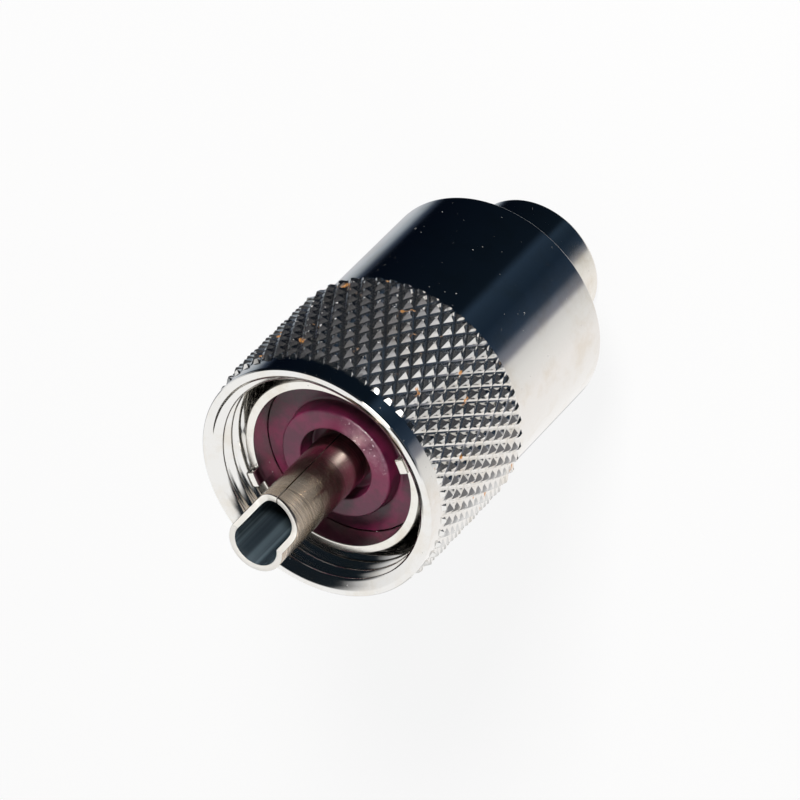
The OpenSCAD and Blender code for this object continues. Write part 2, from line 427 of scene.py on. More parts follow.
def moulded(name, tint, land_z, sheen_turn):
    """Satin phenolic with darker mottling and a fine grain, and on one side of the land a pale patch of
    painted sheen with paler specks that stand for glints on scratches.
    """
    sheen_colour, glint_and_scratch_colour = (0.36, 0.20, 0.27), (0.72, 0.60, 0.66)
    finish = Finish(name, Metallic=0.0, IOR=1.6)
    cloud = finish.noise(700, 4, 0.65)
    dark = tuple(part * 0.6 for part in tint)
    warm = tuple(part * gain for part, gain in zip(tint, (1.25, 1.2, 1.1)))
    skin_colour = finish.mixed(finish.ranged(cloud, 0.35, 0.65), dark, warm)
    relief = finish.bump(finish.noise(9000, 3, 0.6), 0.012 * MM, 0.35)
    relief = finish.bump(finish.noise(1600, 3, 0.6), 0.03 * MM, 0.3, relief)
    rough = finish.ranged(cloud, 0.3, 0.7, 0.3, 0.42)
    # Painted sheen on one side of the land, with pale specks that stand for glints on scratches
    on_side = finish.ranged(finish.maths("DIVIDE", finish.towards(sheen_turn), finish.radius), 0.72, 0.97)
    on_land = finish.ranged(finish.height, land_z - 0.15 * MM, land_z - 0.02 * MM)
    sheened_and_scuffed = finish.times(on_side, on_land)
    painted_sheen = finish.times(sheened_and_scuffed, finish.ranged(finish.noise(1500, 4, 0.7), 0.3, 0.65, 0.1, 0.5))
    skin_colour = finish.mixed(painted_sheen, skin_colour, sheen_colour)
    glints_and_scratches = finish.times(sheened_and_scuffed, finish.ranged(finish.noise(4200, 2, 0.6), 0.64, 0.7))
    skin_colour = finish.mixed(glints_and_scratches, skin_colour, glint_and_scratch_colour)
    finish.use(Base_Color=skin_colour, Roughness=rough, Normal=relief)
    return finish.material


def dress(piece, material, body, slot, *nodes):
    """Gives the piece its finish, sets it on its body and lets it stand for its solids."""
    piece.data.materials.clear()
    piece.data.materials.append(material)
    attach(piece, body)
    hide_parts(*nodes)


# Coupling ring

# Steps that each cell of the knurl is divided into, both ways
CUTS = 4

# Levels of the mesh in each turn of the thread
THREAD_LEVELS = 14

# What the countersink's radius gains for each length towards the front
COUNTERSINK = 1.8

# Chamfer at the rear of the lip's bore, and how close the levels that support an edge stand to it
LIP_CHAMFER, CLOSE = 0.15 * MM, 0.05 * MM

# Parts of the way along the ring's rounded edges
THIRDS = (0, 0.33, 0.67, 1)


def knurl(sizes, generator):
    """Radii [level][column] and heights of the knurl: pyramids with worn tips between diagonal grooves."""
    starts, rows = sizes.knurl_starts, sizes.knurl_rows
    tip_r, band_r, depth = sizes.knurl_d / 2, sizes.band_d / 2, sizes.groove_depth
    most_wear, steeper, highest = 0.05 * MM, 1.3, 0.224 * MM
    row_h = math.pi * tip_r / starts / math.tan(sizes.knurl_angle)
    rear = RING_HIGH.z - sizes.band_len - rows * row_h
    last = rows * CUTS
    level, column = np.meshgrid(np.arange(last + 1), np.arange(2 * starts * CUTS), indexing="ij")
    row, up = np.divmod(level, CUTS)
    cell, along = np.divmod(column, CUTS)
    up, along = up / CUTS, along / CUTS
    from_groove = np.where((row + cell) % 2 == 0, np.abs(up + along - 1), np.abs(up - along))
    wear = generator.uniform(0, most_wear, level.shape)
    flank = np.interp(from_groove, (0, 0.25, 0.75, 1), (0, 0.1, 0.72, 0.98)) * depth
    radii = tip_r - depth + flank - np.where(from_groove == 1, wear, 0.1 * wear)
    # Both ends are chamfered: the end itself is on the band's diameter, and the level beside it rises
    # from there more steeply than the flanks, but no higher than the chamfer
    for end, beside in ((0, 1), (last, last - 1)):
        radii[end] = band_r
        radii[beside] = band_r + np.minimum(steeper * (radii[beside] - band_r), highest)
    return radii, rear + np.arange(last + 1) * row_h / CUTS


def thread_radius(sizes, angles, height):
    """Radius of the ring's inside at a height in the thread, with the countersink at the mouth."""
    minor_r = sizes.minor_d / 2
    crest, flank, straight = 0.12, 0.8, 0.7
    phase = (height / sizes.thread_pitch - angles / (2 * math.pi)) % 1
    from_crest = np.abs(phase - 0.5) * 2
    rise = np.clip((from_crest - crest) / flank, 0, 1)
    depth = sizes.thread_depth * (straight * rise + (1 - straight) * rise * rise * (3 - 2 * rise))
    stop = RING_HIGH.z - sizes.thread_len
    run_in = min(1.0, max(0.0, (height - stop) / sizes.thread_pitch))
    thread = minor_r + np.minimum(depth, (sizes.cavity_d / 2 - minor_r) + run_in * sizes.thread_depth)
    cone = sizes.mouth_d / 2 - COUNTERSINK * (RING_HIGH.z - height)
    return np.maximum(thread, cone)


def knurled_nickel(sizes, finishes, levels):
    """The ring's plate: painted shade with dirt, mottled, deep in the mouth, and brass spots and painted pale
    glints on the knurl's levels.
    """
    shade_and_grime_colour, glint_colour = (0.10, 0.095, 0.09), (0.95, 0.95, 0.95)
    front, mouth_r = RING_HIGH.z, sizes.mouth_d / 2
    tip_r, band_r = sizes.knurl_d / 2, sizes.band_d / 2
    finish = nickel("ring nickel", tuple(finishes.ring_nickel), gloss=0.095, marks=0.1, stain=0.06)
    radius, height = finish.radius, finish.height

    # Painted shade with dirt, mottled, in the rear of the thread
    far_in = finish.under(height, front - 4.4 * MM, front - 3.5 * MM)
    deep = finish.times(far_in, finish.under(radius, mouth_r - 0.2 * MM, mouth_r - 0.1 * MM))
    shade_and_grime = finish.times(deep, finish.ranged(finish.noise(1100, 4, 0.7), 0.4, 0.55, 0.1, 0.95))
    plate = finish.mixed(shade_and_grime, finish.plate, shade_and_grime_colour)

    # Painted glints: pale, partly matt spots on some of the tips
    from_rear = finish.ranged(height, levels[0], levels[1])
    on_knurl = finish.times(from_rear, finish.under(height, levels[-2], levels[-1]))
    at_tip = finish.times(on_knurl, finish.ranged(radius, tip_r - 0.16 * MM, tip_r - 0.06 * MM))
    glint = finish.times(at_tip, finish.ranged(finish.noise(6400, 1, 0.5), 0.62, 0.68))
    plate = finish.mixed(glint, plate, glint_colour)

    # Brass spots in some of the grooves
    over_band = finish.ranged(radius, band_r, band_r + 0.03 * MM)
    in_groove = finish.times(over_band, finish.under(radius, tip_r - sizes.groove_depth, tip_r - 0.1 * MM))
    in_groove = finish.times(in_groove, on_knurl)
    bare = finish.times(in_groove, finish.ranged(finish.noise(900, 2, 0.5), 0.67, 0.705))
    dull = finish.plus(finish.times(in_groove, 0.02), finish.times(glint, 0.6))
    dull = finish.plus(dull, finish.times(bare, 0.35))
    finish.use(Base_Color=finish.mixed(bare, plate, tuple(finishes.brass)),
               Metallic=finish.minus(finish.metal, dull))
    return finish.material


class PLUG_OT_ring(bpy.types.Operator):
    """Builds the coupling ring with its diamond knurl and inside thread"""

    bl_idname = "plug.ring"
    bl_label = "Coupling Ring"

    def execute(self, context):
        sizes = context.scene.plug_ring
        columns = 2 * sizes.knurl_starts * CUTS
        angles = (np.arange(columns) / CUTS + 0.5) * math.pi / sizes.knurl_starts
        ones = np.ones(columns)
        knurl_radii, knurl_heights = knurl(sizes, np.random.default_rng(7))
        radii, heights = [], []

        def add(points):
            for radius, height in points:
                radii.append(radius * ones)
                heights.append(height)

        add(self.barrel(sizes, knurl_heights[0]))
        knurl_first = len(radii)
        radii += list(knurl_radii)
        heights += list(knurl_heights)
        knurl_last = len(radii) - 1
        add(self.front(sizes, knurl_heights[-1]))
        for height in self.thread_heights(sizes):
            radii.append(thread_radius(sizes, angles, height))
            heights.append(height)
        add(self.inside(sizes))

        def along_groove(level, column):
            if not knurl_first <= level < knurl_last:
                return None
            return ((level - knurl_first) // CUTS + column // CUTS) % 2 == 0

        points, faces = skin(np.array(radii), np.array(heights)[:, None] * ones, angles, along_groove)
        ring = new_piece("coupling_ring_knurled", points, faces)
        inside_r = sizes.mouth_d / 2 - 0.01 * MM
        creased(ring, degrees=24, keep_smooth=lambda places: np.hypot(places[:, 0], places[:, 1]) < inside_r)
        finish = knurled_nickel(sizes, context.scene.plug_finishes, knurl_heights.tolist())
        dress(ring, finish, "ring", "ring_nickel", "coupling_ring")
        return {"FINISHED"}

    @staticmethod
    def barrel(sizes, knurl_z):
        """Section of the barrel, from its chamfered rear edge to the knurl."""
        rear, barrel_r, chamfer = RING_LOW.z, sizes.barrel_d / 2, sizes.rear_chamfer
        bore_edge = (sizes.lip_d / 2 + LIP_CHAMFER, rear + LIP_CHAMFER)
        low, high = (barrel_r - chamfer, rear), (barrel_r, rear + chamfer)
        return [
            *arc(bore_edge, low, high, CLOSE, THIRDS),
            *arc(low, high, (barrel_r, knurl_z), CLOSE, THIRDS),
            (barrel_r, rear + chamfer + 3 * CLOSE),
            (barrel_r, knurl_z - CLOSE),
        ]

    @staticmethod
    def front(sizes, knurl_z):
        """Section of the band and the front face, from the knurl to the mouth's rounded edge."""
        front, band_r, mouth_r = RING_HIGH.z, sizes.band_d / 2, sizes.mouth_d / 2
        outer, inner, beside = sizes.front_round, sizes.mouth_round, 0.03 * MM
        below = (mouth_r - COUNTERSINK * MM, front - MM)
        return [
            (band_r, knurl_z + 0.02 * MM),
            (band_r, front - outer - 2 * beside),
            *arc((band_r, front - MM), (band_r, front), (mouth_r, front), outer, THIRDS),
            (band_r - outer - beside, front),
            (mouth_r + inner + beside, front),
            *arc((band_r, front), (mouth_r, front), below, inner, THIRDS),
        ]

    @staticmethod
    def thread_heights(sizes):
        """Heights of the levels in the thread and its countersink, from the mouth down to the stop."""
        top = RING_HIGH.z - sizes.mouth_round
        stop = RING_HIGH.z - sizes.thread_len + 0.04 * MM
        steps = int(sizes.thread_len / sizes.thread_pitch * THREAD_LEVELS)
        return np.linspace(top, stop, steps, endpoint=False)[1:]

    @staticmethod
    def inside(sizes):
        """Section of the thread's stop, the cavity for the flange and the lip's bore, down to the rear."""
        rear, stop = RING_LOW.z, RING_HIGH.z - sizes.thread_len
        lip_top = rear + sizes.lip_len
        cavity_r, lip_r = sizes.cavity_d / 2, sizes.lip_d / 2
        return [
            (sizes.minor_d / 2, stop),
            (cavity_r, stop),
            (cavity_r, stop - CLOSE),
            (cavity_r, lip_top + CLOSE),
            (cavity_r, lip_top),
            (lip_r, lip_top),
            (lip_r, lip_top - CLOSE),
            (lip_r, rear + LIP_CHAMFER + CLOSE),
            (lip_r, rear + LIP_CHAMFER),
            (lip_r + LIP_CHAMFER, rear),
            (lip_r + LIP_CHAMFER + CLOSE, rear),
        ]


# Body


class PLUG_OT_body(bpy.types.Operator):
    """Builds the turned body: neck, waist, flange, rim and its two tangs"""

    bl_idname = "plug.body"
    bl_label = "Plug Body"

    def execute(self, context):
        sizes, finishes = context.scene.plug_body, context.scene.plug_finishes
        neck_r, waist_r, flange_r = sizes.neck_d / 2, sizes.waist_d / 2, sizes.flange_d / 2
        rim_r, chamber_r, bore_r = sizes.rim_d / 2, sizes.chamber_d / 2, sizes.cable_bore_d / 2
        recess_r = rim_r - sizes.rim_wall
        rim_z = BODY_HIGH.z - sizes.tang_h
        flange_front = rim_z - sizes.rim_len
        flange_rear = flange_front - sizes.flange_len
        seat = rim_z - sizes.recess_depth
        throat = chamber_r - bore_r
        edge, small = 0.3 * MM, 0.06 * MM
        body = turned("plug_body_turned", [
            (bore_r + edge, 0, small),
            (neck_r - edge, 0, 2 * small),
            (neck_r, edge, 2 * small),
            (neck_r, sizes.neck_len, small),
            (waist_r, sizes.neck_len + waist_r - neck_r, small),
            (waist_r, flange_rear, 0),
            (flange_r, flange_rear, small),
            (flange_r, flange_front, small),
            (rim_r, flange_front, 0),
            (rim_r, rim_z, small),
            (recess_r, rim_z, 1.5 * small),
            (recess_r, seat, 0),
            (chamber_r, seat, small),
            (chamber_r, sizes.cable_bore_len + throat, 0),
            (bore_r, sizes.cable_bore_len, 0),
            (bore_r, edge, 0),
        ], columns=288)
        for turn_about in (0, math.pi):
            combined(body, self.tang(sizes, rim_z, turn_about), "UNION")
        for quarter in range(4):
            drill = self.drill(sizes, flange_rear, math.radians(45 + 90 * quarter))
            combined(body, drill, "DIFFERENCE")
        creased(body, degrees=30)
        finish = nickel("body nickel", tuple(finishes.body_nickel), gloss=0.16, marks=0.15, stain=0.1)
        dress(body, finish.material, "body", "body_nickel", "plug_body")
        return {"FINISHED"}

    @staticmethod
    def drill(sizes, flange_rear, turn_about):
        """The cutter for one solder hole, through the middle of the waist's wall."""
        drill_r, half, tiny = sizes.solder_hole_d / 2, 1.5 * MM, 0.01 * MM
        wall_r = (sizes.waist_d + sizes.chamber_d) / 4
        cutter = turned("solder_hole", [
            (tiny, -half, 0), (drill_r, -half, 0), (drill_r, half, 0), (tiny, half, 0),
        ], columns=48)
        shift = Matrix.Translation((wall_r, 0, flange_rear - sizes.solder_hole_back))
        sideways = Matrix.Rotation(math.pi / 2, 4, "Y")
        cutter.data.transform(Matrix.Rotation(turn_about, 4, "Z") @ shift @ sideways)
        return cutter

    @staticmethod
    def tang(sizes, rim_z, turn_about):
        """One locating tang: a short curved tooth with broken edges that grows out of the rim's wall."""
        root, broken = 0.4 * MM, 0.07 * MM
        half, low, high = sizes.tang_w / 2, rim_z - root, BODY_HIGH.z
        outer = sizes.rim_d / 2
        inner = outer - sizes.rim_wall
        points, faces, steps = [], [], 8
        for i in range(steps + 1):
            across = -half + 2 * half * i / steps
            for radius, height in ((inner, low), (outer, low), (outer, high), (inner, high)):
                points.append((math.sqrt(radius ** 2 - across ** 2), across, height))
        for i in range(steps):
            for side in range(4):
                a, b = 4 * i + side, 4 * i + (side + 1) % 4
                faces.append((a, a + 4, b + 4, b))
        faces += [(0, 1, 2, 3), (4 * steps + 3, 4 * steps + 2, 4 * steps + 1, 4 * steps)]
        tooth = new_piece("tang", points, faces)
        tooth.data.transform(Matrix.Rotation(turn_about, 4, "Z"))
        broken_edges(tooth, broken, math.radians(50))
        return tooth


# Insulator


class PLUG_OT_insulator(bpy.types.Operator):
    """Builds the moulded insulator with its floor, land and well"""

    bl_idname = "plug.insulator"
    bl_label = "Insulator"

    def execute(self, context):
        sizes, finishes = context.scene.plug_insulator, context.scene.plug_finishes
        land_z, bottom = INSULATOR_HIGH.z, INSULATOR_LOW.z
        floor_z = land_z - sizes.floor_drop
        seat = bottom + sizes.spigot_len
        pocket_z = seat + sizes.pocket_len
        well_floor = land_z - sizes.well_depth
        outer_r, land_r, well_r = sizes.outer_d / 2, sizes.land_d / 2, sizes.well_d / 2
        small, draft = 0.08 * MM, 0.1 * MM
        insulator = turned("insulator_moulded", [
            (sizes.pocket_d / 2, bottom, small),
            (sizes.spigot_d / 2, bottom, small),
            (sizes.spigot_d / 2, seat, 0),
            (outer_r, seat, small),
            (outer_r, floor_z, small),
            (land_r, floor_z, 2 * small),
            (land_r - draft, land_z, 2.2 * small),
            (well_r, land_z, 1.6 * small),
            (well_r, well_floor, 2 * small),
            (sizes.hole_d / 2, well_floor, small / 2),
            (sizes.hole_d / 2, pocket_z, 0),
            (sizes.pocket_d / 2, pocket_z, 0),
        ], columns=224)
        creased(insulator, degrees=30)
        finish = moulded("phenolic", tuple(finishes.phenolic), land_z, sizes.sheen_turn)
        dress(insulator, finish, "body", "phenolic", "insulator")
        return {"FINISHED"}


# Centre pin

# Parts of the way up from the tube below the scoop to the tip's edge
TO_TIP = (0.3, 0.6, 0.85, 1)


def scooped_nickel(sizes, finishes, low):
    """The pin's plate, with painted shade and painted reflections in the bore, a dark seam, and pale sawn
    edges above the height low.
    """
    ring_colour, seam_colour, sawn_colour = (0.2, 0.16, 0.13), (0.035, 0.03, 0.028), (0.82, 0.80, 0.76)
    bore_shade, bore_reflection = (0.018, 0.026, 0.034), (0.085, 0.115, 0.135)
    front_r, bore_r = sizes.front_d / 2, sizes.bore_d / 2
    finish = nickel("pin nickel", tuple(finishes.pin_nickel), gloss=0.2, marks=0.6, stain=0.2)
    radius, height = finish.radius, finish.height

    # Turning rings outside, and in the bore painted shade with lighter painted reflections in stripes along
    # it
    rings = finish.noise(5200, 2, 0.7, finish.joined(0.0, 0.0, height))
    plate = finish.mixed(finish.ranged(rings, 0.35, 0.65, 0.0, 0.5), finish.plate, ring_colour)
    painted_streaks = finish.noise(900, 3, 0.6, finish.joined(finish.x, finish.y, 0.0))
    bore = finish.mixed(finish.ranged(painted_streaks, 0.35, 0.65), bore_shade, bore_reflection)
    outside = finish.ranged(radius, bore_r, bore_r + 0.01 * MM)
    plate = finish.mixed(outside, bore, plate)

    # The seam along one side
    from_line = finish.maths("ABSOLUTE", finish.towards(sizes.seam_turn - math.pi / 2))
    on_seam_side = finish.ranged(finish.towards(sizes.seam_turn), bore_r, bore_r + 0.02 * MM)
    in_seam = finish.times(finish.under(from_line, 0.03 * MM, 0.06 * MM), on_seam_side)
    plate = finish.mixed(finish.times(in_seam, 0.85), plate, seam_colour)

    # The wall that the saw has left open round the scoop and the tip
    in_wall = finish.times(outside, finish.under(radius, front_r - 0.03 * MM, front_r - 0.01 * MM))
    sawn = finish.times(in_wall, finish.ranged(height, low - 0.3 * MM, low))
    sawn = finish.times(sawn, finish.minus(1.0, in_seam))
    plate = finish.mixed(sawn, plate, sawn_colour)
    rough = finish.plus(finish.ranged(rings, 0.3, 0.7, 0.14, 0.26), finish.times(sawn, 0.25))
    finish.use(Base_Color=plate, Metallic=finish.minus(outside, finish.times(sawn, 0.6)), Roughness=rough)
    return finish.material


class PLUG_OT_pin(bpy.types.Operator):
    """Builds the hollow centre pin with its seam and the scoop at its tip"""

    bl_idname = "plug.pin"
    bl_label = "Centre Pin"

    def execute(self, context):
        sizes = context.scene.plug_pin
        tip, bottom = PIN_HIGH.z, PIN_LOW.z
        front_r, bore_r = sizes.front_d / 2, sizes.bore_d / 2
        stem_r, collar_r = sizes.stem_d / 2, sizes.collar_d / 2
        shoulder = tip - sizes.front_len
        collar_rear = bottom + sizes.tail_len
        collar_front = collar_rear + sizes.collar_len
        low = tip - sizes.scoop_len - 1.2 * MM
        edge, fine, tube_steps = 0.05 * MM, 0.02 * MM, 12
        outer_angles, inner_angles, opened = self.columns(sizes)
        columns = len(outer_angles)
        wobble = self.wobble(columns, 0.02 * MM)
        outer_top = np.where(opened, self.scoop_height(sizes, tip, front_r, outer_angles), tip) - wobble
        inner_top = np.where(opened, self.scoop_height(sizes, tip, bore_r, inner_angles), tip) - wobble
        from_seam = np.abs(outer_angles - (sizes.seam_turn - sizes.scoop_turn)) * front_r
        groove = 0.08 * MM * np.clip(1.5 - 3 * from_seam / sizes.seam_w, 0, 1)
        side_r = front_r - groove
        radii, heights, angles = [], [], []

        def add(radius, height, around):
            radii.append(radius + np.zeros(columns))
            heights.append(height + np.zeros(columns))
            angles.append(around)

        for radius, height in ((stem_r, bottom), (stem_r, collar_rear), (collar_r, collar_rear),
                               (collar_r, collar_front), (stem_r, collar_front), (stem_r, shoulder),
                               (front_r - edge, shoulder)):
            add(radius, height, outer_angles)
        add(side_r, shoulder + edge, outer_angles)
        for height in np.linspace(shoulder + 2 * edge, low, tube_steps):
            add(side_r, height, outer_angles)
        for part in TO_TIP:
            add(side_r, low + (outer_top - edge - low) * part, outer_angles)
        add(side_r - 0.3 * edge, outer_top - 0.3 * edge, outer_angles)
        add(side_r - edge, outer_top, outer_angles)
        add(bore_r + edge, inner_top, inner_angles)
        add(bore_r + 0.3 * edge, inner_top - 0.3 * edge, inner_angles)
        for part in reversed(TO_TIP):
            add(bore_r, low + (inner_top - edge - low) * part, inner_angles)
        for height in np.linspace(low, bottom + fine, tube_steps):
            add(bore_r, height, inner_angles)
        add(bore_r, bottom, inner_angles)

        points, faces = skin(np.array(radii), np.array(heights), np.array(angles) + sizes.scoop_turn)
        pin = new_piece("centre_pin_hollow", points, faces)
        creased(pin, degrees=38)
        finish = scooped_nickel(sizes, context.scene.plug_finishes, low)
        dress(pin, finish, "body", "pin_nickel", "centre_pin")
        return {"FINISHED"}

    @staticmethod
    def wobble(columns, most):
        """Unevenness of the sawn tip, column by column, smoothed with its neighbours."""
        uneven = np.random.default_rng(3).random(columns)
        window = np.ones(5) / 5
        return most * np.convolve(np.tile(uneven, 3), window, "same")[columns:-columns]

    @staticmethod
    def columns(sizes):
        """Angles of the outer and inner columns from the scoop's middle, and which ones the scoop opens."""
        front_r, bore_r = sizes.front_d / 2, sizes.bore_d / 2
        outer_wall = math.acos(sizes.scoop_offset / front_r)
        inner_wall = math.acos(sizes.scoop_offset / bore_r)
        seam, across = sizes.seam_turn - sizes.scoop_turn, sizes.seam_w / front_r / 2
        opened = np.concatenate((
            np.linspace(-outer_wall, seam - 3 * across, 30),
            seam + across * np.array((-1.3, -1, -0.5, 0, 0.5, 1, 1.3)),
            np.linspace(seam + 3 * across, outer_wall, 20),
        ))
        step = math.radians(1)
        outer_end, inner_end = outer_wall + step, inner_wall + step
        closed = np.linspace(outer_end, 2 * math.pi - outer_end, 72)
        closed_inner = math.pi + (closed - math.pi) * (math.pi - inner_end) / (math.pi - outer_end)
        outer = np.concatenate((opened, closed))
        inner = np.concatenate((opened * inner_wall / outer_wall, closed_inner))
        return outer, inner, np.arange(len(outer)) < len(opened)

    @staticmethod
    def scoop_height(sizes, tip, radius, angles):
        """Height of the scoop's leaning floor, with the round in its corner, at points on a cylinder."""
        across, along = radius * np.sin(angles), radius * np.cos(angles)
        rounding = sizes.scoop_round
        from_round = np.clip(sizes.scoop_offset + rounding - along, 0, rounding)
        rise = rounding - np.sqrt(rounding ** 2 - from_round ** 2)
        tilt = sizes.scoop_tilt
        return tip - sizes.scoop_len + rise / math.cos(tilt) - across * math.tan(tilt)


# Studio

ROOM_RADIUS = 2.0

# Heights between which the room below the horizon passes into its far part
FAR_LOW, FAR_HIGH = -0.42 * ROOM_RADIUS, -0.34 * ROOM_RADIUS

# Colour of the reflected lamp, brighter than white
LAMP_FACE = (4.5, 4.4, 4.25, 1)

# Place beside the axis that the camera looks at, from the fit to the photo's outlines
AIM_X, AIM_Y = 0.03 * MM, -0.06 * MM

# Point on the axis that the lamps face
LIT_POINT = Vector((0, 0, 20 * MM))

# Colours of the room round the plug that polished faces see below the horizon, by azimuth in degrees
ROOM = (
    (-180, (0.50, 0.53, 0.57)),
    (-157, (0.60, 0.60, 0.62)),
    (-150, (0.36, 0.37, 0.39)),
    (-139, (0.55, 0.56, 0.57)),
    (-132, (1.0, 0.99, 0.98)),
    (-60, (0.95, 0.92, 0.90)),
    (-32, (0.80, 0.79, 0.77)),
    (-20, (0.66, 0.65, 0.64)),
    (-15, (0.22, 0.225, 0.26)),
    (-8, (0.15, 0.165, 0.20)),
    (-2, (0.026, 0.042, 0.068)),
    (18, (0.010, 0.020, 0.036)),
    (30, (0.014, 0.026, 0.044)),
    (40, (0.020, 0.036, 0.060)),
    (47, (0.004, 0.008, 0.014)),
    (150, (0.0015, 0.003, 0.007)),
    (158, (0.036, 0.050, 0.080)),
    (167, (0.30, 0.34, 0.38)),
)

# The same near the horizon, which only the knurl's facets see
FAR_ROOM = (
    (-180, (0.46, 0.47, 0.49)),
    (-150, (0.76, 0.76, 0.76)),
    (-62, (0.66, 0.66, 0.66)),
    (-38, (0.88, 0.88, 0.88)),
    (-24, (0.80, 0.80, 0.81)),
    (-12, (0.42, 0.42, 0.43)),
    (0, (0.21, 0.21, 0.22)),
    (22, (0.15, 0.15, 0.16)),
    (36, (0.085, 0.086, 0.092)),
    (60, (0.045, 0.046, 0.052)),
    (110, (0.052, 0.055, 0.060)),
    (140, (0.026, 0.028, 0.034)),
    (168, (0.30, 0.32, 0.34)),
)

# The room above the horizon, which the thread's flanks and the rounded edges see
UPPER_ROOM = (
    (-180, (1.0, 1.0, 1.0)),
    (-34, (1.0, 1.0, 1.0)),
    (-18, (0.010, 0.014, 0.020)),
    (138, (0.006, 0.010, 0.014)),
    (154, (0.85, 0.85, 0.85)),
)


def outwards(azimuth, elevation):
    """Direction from the plug, from angles in radians."""
    level = math.cos(elevation)
    return np.array((level * math.cos(azimuth), level * math.sin(azimuth), math.sin(elevation)))


def dome(left, right, low, high, radius):
    """Part of a sphere between two azimuths and two elevations in degrees."""
    step = 5
    across, up = (right - left) // step, (high - low) // step
    points, faces = [], []
    for i in range(up + 1):
        elevation = math.radians(low + (high - low) * i / up)
        for j in range(across + 1):
            azimuth = math.radians(left + (right - left) * j / across)
            points.append(radius * outwards(azimuth, elevation))
    for i in range(up):
        for j in range(across):
            k = i * (across + 1) + j
            faces.append((k, k + 1, k + across + 2, k + across + 1))
    return points, faces


def empty_wiring(owner):
    """Wiring for a material or world of the stage, without the nodes that it starts with."""
    wiring = Wiring(owner)
    wiring.tree.nodes.clear()
    return wiring


def before_matt(wiring):
    """1 until a ray has met a matt face, so that what only reflections should show lights nothing."""
    bounces = wiring.node("ShaderNodeLightPath").outputs["Diffuse Depth"]
    return wiring.maths("LESS_THAN", bounces, 0.5)


def sees_backdrop(wiring):
    """1 for camera, glossy and transmission rays, which see the white backdrop, and 0 for light itself."""
    ray = wiring.node("ShaderNodeLightPath").outputs
    seen = wiring.maths("MAXIMUM", ray["Is Camera Ray"], ray["Is Glossy Ray"])
    seen = wiring.maths("MAXIMUM", seen, ray["Is Transmission Ray"])
    return wiring.times(seen, before_matt(wiring))


def blended(wiring, amount, first, second):
    return wiring.fed("ShaderNodeMixShader", (amount, first.outputs[0], second.outputs[0]))


def azimuth_ramp(wiring, place, bands):
    """Colours by azimuth round the plug, from pairs of degrees and colour."""
    azimuth = wiring.fed("ShaderNodeTexGradient", (place,), gradient_type="RADIAL")
    ramp = wiring.fed("ShaderNodeValToRGB", (azimuth.outputs["Fac"],))
    stops = ramp.color_ramp.elements
    for i, (degrees, shade) in enumerate(bands):
        position = (degrees + 180) / 360
        stop = stops[i] if i < 1 else stops.new(position)
        stop.position = position
        stop.color = (*shade, 1)
    stops[-1].position = 1
    stops[-1].color = (*bands[0][1], 1)
    return ramp.outputs["Color"]


def room_shade(wiring):
    """The room below the horizon, with its far part near the horizon."""
    place = wiring.node("ShaderNodeTexCoord").outputs["Object"]
    height = wiring.fed("ShaderNodeSeparateXYZ", (place,)).outputs["Z"]
    far = wiring.ranged(height, FAR_LOW, FAR_HIGH, curve="LINEAR")
    return wiring.mixed(far, azimuth_ramp(wiring, place, ROOM), azimuth_ramp(wiring, place, FAR_ROOM))


def upper_shade(wiring):
    """The room above the horizon."""
    place = wiring.node("ShaderNodeTexCoord").outputs["Object"]
    return azimuth_ramp(wiring, place, UPPER_ROOM)


def reflector(name, points, faces, shade):
    """A face that only reflections see; shade is the colour of its glow, or a function that wires it."""
    piece = new_piece(name, points, faces)
    material = bpy.data.materials.new(name)
    wiring = empty_wiring(material)
    glow_colour = shade(wiring) if callable(shade) else shade
    glow = wiring.fed("ShaderNodeEmission", (glow_colour, before_matt(wiring)))
    wiring.fed("ShaderNodeOutputMaterial", (glow.outputs[0],))
    piece.data.materials.append(material)
    piece.visible_camera = False
    piece.visible_diffuse = False
    piece.visible_transmission = False
    piece.visible_shadow = False


def soft_light(name, azimuth, elevation, distance, size, power, tint):
    """A square soft light that faces the plug, and starts out hidden from reflections."""
    light = bpy.data.lights.new(name, "AREA")
    light.size = size
    light.energy = power
    light.color = tint
    lamp = bpy.data.objects.new(name, light)
    away = Vector(outwards(math.radians(azimuth), math.radians(elevation)))
    lamp.location = away * distance + LIT_POINT
    lamp.rotation_mode = "QUATERNION"
    lamp.rotation_quaternion = away.to_track_quat("Z", "Y")
    lamp.visible_glossy = False
    bpy.context.scene.collection.objects.link(lamp)
    return lamp


